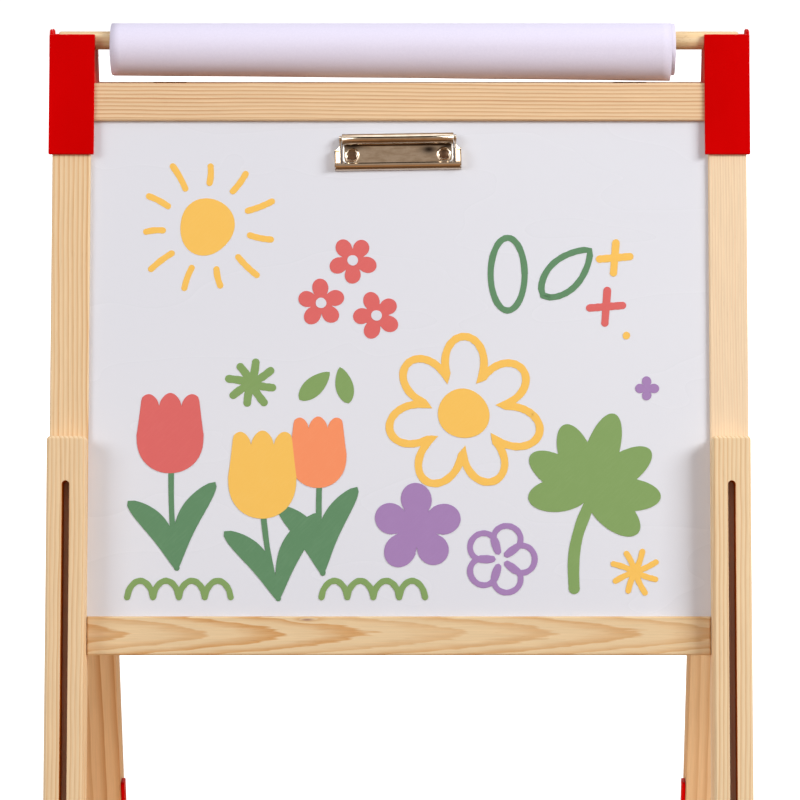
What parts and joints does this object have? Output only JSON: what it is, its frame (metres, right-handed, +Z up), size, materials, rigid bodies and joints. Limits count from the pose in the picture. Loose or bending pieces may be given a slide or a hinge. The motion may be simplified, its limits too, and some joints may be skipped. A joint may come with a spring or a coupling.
{
  "type": "double-sided play easel",
  "caption": "Wooden A-frame play easel with whiteboard and chalkboard, hinged at the top, with slotted sliding legs, a paper roll held on a rod and a spring clip.",
  "frame": {"origin": "on the floor, under the middle of the open easel", "axes": "+X to the right seen from the whiteboard side, +Y towards the chalkboard side, +Z up"},
  "size_m": [0.5576, 0.4494, 0.9252],
  "materials": {
    "pine": "clear-lacquered pine, satin",
    "beech": "smooth turned beech rod",
    "red_plastic": "moulded red plastic, lightly glossy",
    "whiteboard": "white dry-wipe surface, glossy, with marker drawings",
    "chalkboard": "matt black-green chalk surface",
    "paper": "uncoated white drawing paper",
    "cardboard": "wound grey-brown cardboard",
    "nickel": "bright nickel plate",
    "brass": "brassed steel",
    "steel": "zinc-plated steel",
    "rubber": "matt black rubber"
  },
  "bodies": {
    "front_frame": {"front_top_rail": "pine", "front_bottom_rail": "pine", "whiteboard": "whiteboard", "front_left_stile": "pine", "front_left_bracket": "red_plastic", "front_left_bolt": "steel", "front_left_stay_plate": "red_plastic", "front_left_stay_pivot": "steel", "left_hinge_front_leaf": "brass", "left_hinge_pin": "steel", "front_right_stile": "pine", "front_right_bracket": "red_plastic", "front_right_bolt": "steel", "front_right_stay_plate": "red_plastic", "front_right_stay_pivot": "steel", "right_hinge_front_leaf": "brass", "right_hinge_pin": "steel", "clip_base": "nickel", "clip_rivet_left": "nickel", "clip_rivet_right": "nickel", "clip_axle": "steel", "clip_spring": "steel"},
    "rear_frame": {"rear_top_rail": "pine", "rear_bottom_rail": "pine", "chalkboard": "chalkboard", "rear_right_stile": "pine", "rear_right_bracket": "red_plastic", "rear_right_bolt": "steel", "rear_right_stay_plate": "red_plastic", "rear_right_stay_pivot": "steel", "right_hinge_rear_leaf": "brass", "rear_left_stile": "pine", "rear_left_bracket": "red_plastic", "rear_left_bolt": "steel", "rear_left_stay_plate": "red_plastic", "rear_left_stay_pivot": "steel", "left_hinge_rear_leaf": "brass"},
    "front_left_leg": {"front_left_leg": "pine", "front_left_foot": "rubber"},
    "front_left_knob": {"front_left_knob": "red_plastic"},
    "front_left_stay_link": {"front_left_stay_link": "red_plastic"},
    "front_right_leg": {"front_right_leg": "pine", "front_right_foot": "rubber"},
    "front_right_knob": {"front_right_knob": "red_plastic"},
    "front_right_stay_link": {"front_right_stay_link": "red_plastic"},
    "rear_right_leg": {"rear_right_leg": "pine", "rear_right_foot": "rubber"},
    "rear_right_knob": {"rear_right_knob": "red_plastic"},
    "rear_right_stay_link": {"rear_right_stay_link": "red_plastic", "right_stay_rivet": "steel"},
    "rear_left_leg": {"rear_left_leg": "pine", "rear_left_foot": "rubber"},
    "rear_left_knob": {"rear_left_knob": "red_plastic"},
    "rear_left_stay_link": {"rear_left_stay_link": "red_plastic", "left_stay_rivet": "steel"},
    "clip_jaw": {"clip_jaw": "nickel"},
    "roll_rod": {"roll_rod": "beech"},
    "paper_roll": {"paper_roll": "paper", "paper_core": "cardboard"}
  },
  "joints": [
    {"name": "frame_fold", "type": "hinge", "parent": "front_frame", "child": "rear_frame", "pos_m": [0, 0, 0.87623], "axis": [-1, 0, 0], "range_deg": [0, 24]},
    {"name": "front_left_leg_slide", "type": "slide", "parent": "front_frame", "child": "front_left_leg", "axis": [0, -0.2079, -0.9781], "range_m": [0, 0.29]},
    {"name": "front_left_knob_turn", "type": "hinge", "parent": "front_frame", "child": "front_left_knob", "pos_m": [-0.26075, -0.17749, 0.24801], "axis": [0, -0.9781, 0.2079], "continuous": true},
    {"name": "front_left_stay_swing", "type": "hinge", "parent": "front_frame", "child": "front_left_stay_link", "pos_m": [-0.242, -0.14909, 0.2205], "axis": [1, 0, 0], "range_deg": [0, 74.35]},
    {"name": "front_right_leg_slide", "type": "slide", "parent": "front_frame", "child": "front_right_leg", "axis": [0, -0.2079, -0.9781], "range_m": [0, 0.29]},
    {"name": "front_right_knob_turn", "type": "hinge", "parent": "front_frame", "child": "front_right_knob", "pos_m": [0.26075, -0.17749, 0.24801], "axis": [0, -0.9781, 0.2079], "continuous": true},
    {"name": "front_right_stay_swing", "type": "hinge", "parent": "front_frame", "child": "front_right_stay_link", "pos_m": [0.242, -0.14909, 0.2205], "axis": [1, 0, 0], "range_deg": [0, 74.35]},
    {"name": "rear_right_leg_slide", "type": "slide", "parent": "rear_frame", "child": "rear_right_leg", "axis": [0, 0.2079, -0.9781], "range_m": [0, 0.29]},
    {"name": "rear_right_knob_turn", "type": "hinge", "parent": "rear_frame", "child": "rear_right_knob", "pos_m": [0.26075, 0.17749, 0.24801], "axis": [0, 0.9781, 0.2079], "continuous": true},
    {"name": "rear_right_stay_swing", "type": "hinge", "parent": "rear_frame", "child": "rear_right_stay_link", "pos_m": [0.242, 0.14909, 0.2205], "axis": [-1, 0, 0], "range_deg": [0, 74.35]},
    {"name": "rear_left_leg_slide", "type": "slide", "parent": "rear_frame", "child": "rear_left_leg", "axis": [0, 0.2079, -0.9781], "range_m": [0, 0.29]},
    {"name": "rear_left_knob_turn", "type": "hinge", "parent": "rear_frame", "child": "rear_left_knob", "pos_m": [-0.26075, 0.17749, 0.24801], "axis": [0, 0.9781, 0.2079], "continuous": true},
    {"name": "rear_left_stay_swing", "type": "hinge", "parent": "rear_frame", "child": "rear_left_stay_link", "pos_m": [-0.242, 0.14909, 0.2205], "axis": [-1, 0, 0], "range_deg": [0, 74.35]},
    {"name": "clip_open", "type": "hinge", "parent": "front_frame", "child": "clip_jaw", "pos_m": [-0.00129, -0.02753, 0.83424], "axis": [-0.9999, -0.0033, -0.0154], "range_deg": [0, 35], "stiffness_Nm_per_rad": 0.3, "springref_deg": -28.65},
    {"name": "rod_lift", "type": "slide", "parent": "front_frame", "child": "roll_rod", "axis": [0, 0, 1], "range_m": [0, 0.06]},
    {"name": "roll_spin", "type": "hinge", "parent": "roll_rod", "child": "paper_roll", "pos_m": [-0.0052, 0, 0.90423], "axis": [1, 0, 0], "continuous": true}
  ],
  "couplings": [
    {"joint": "front_left_stay_swing", "follows": "frame_fold", "ratio": 3.0977},
    {"joint": "front_right_stay_swing", "follows": "frame_fold", "ratio": 3.0977},
    {"joint": "rear_right_stay_swing", "follows": "frame_fold", "ratio": 3.0977},
    {"joint": "rear_left_stay_swing", "follows": "frame_fold", "ratio": 3.0977}
  ]
}
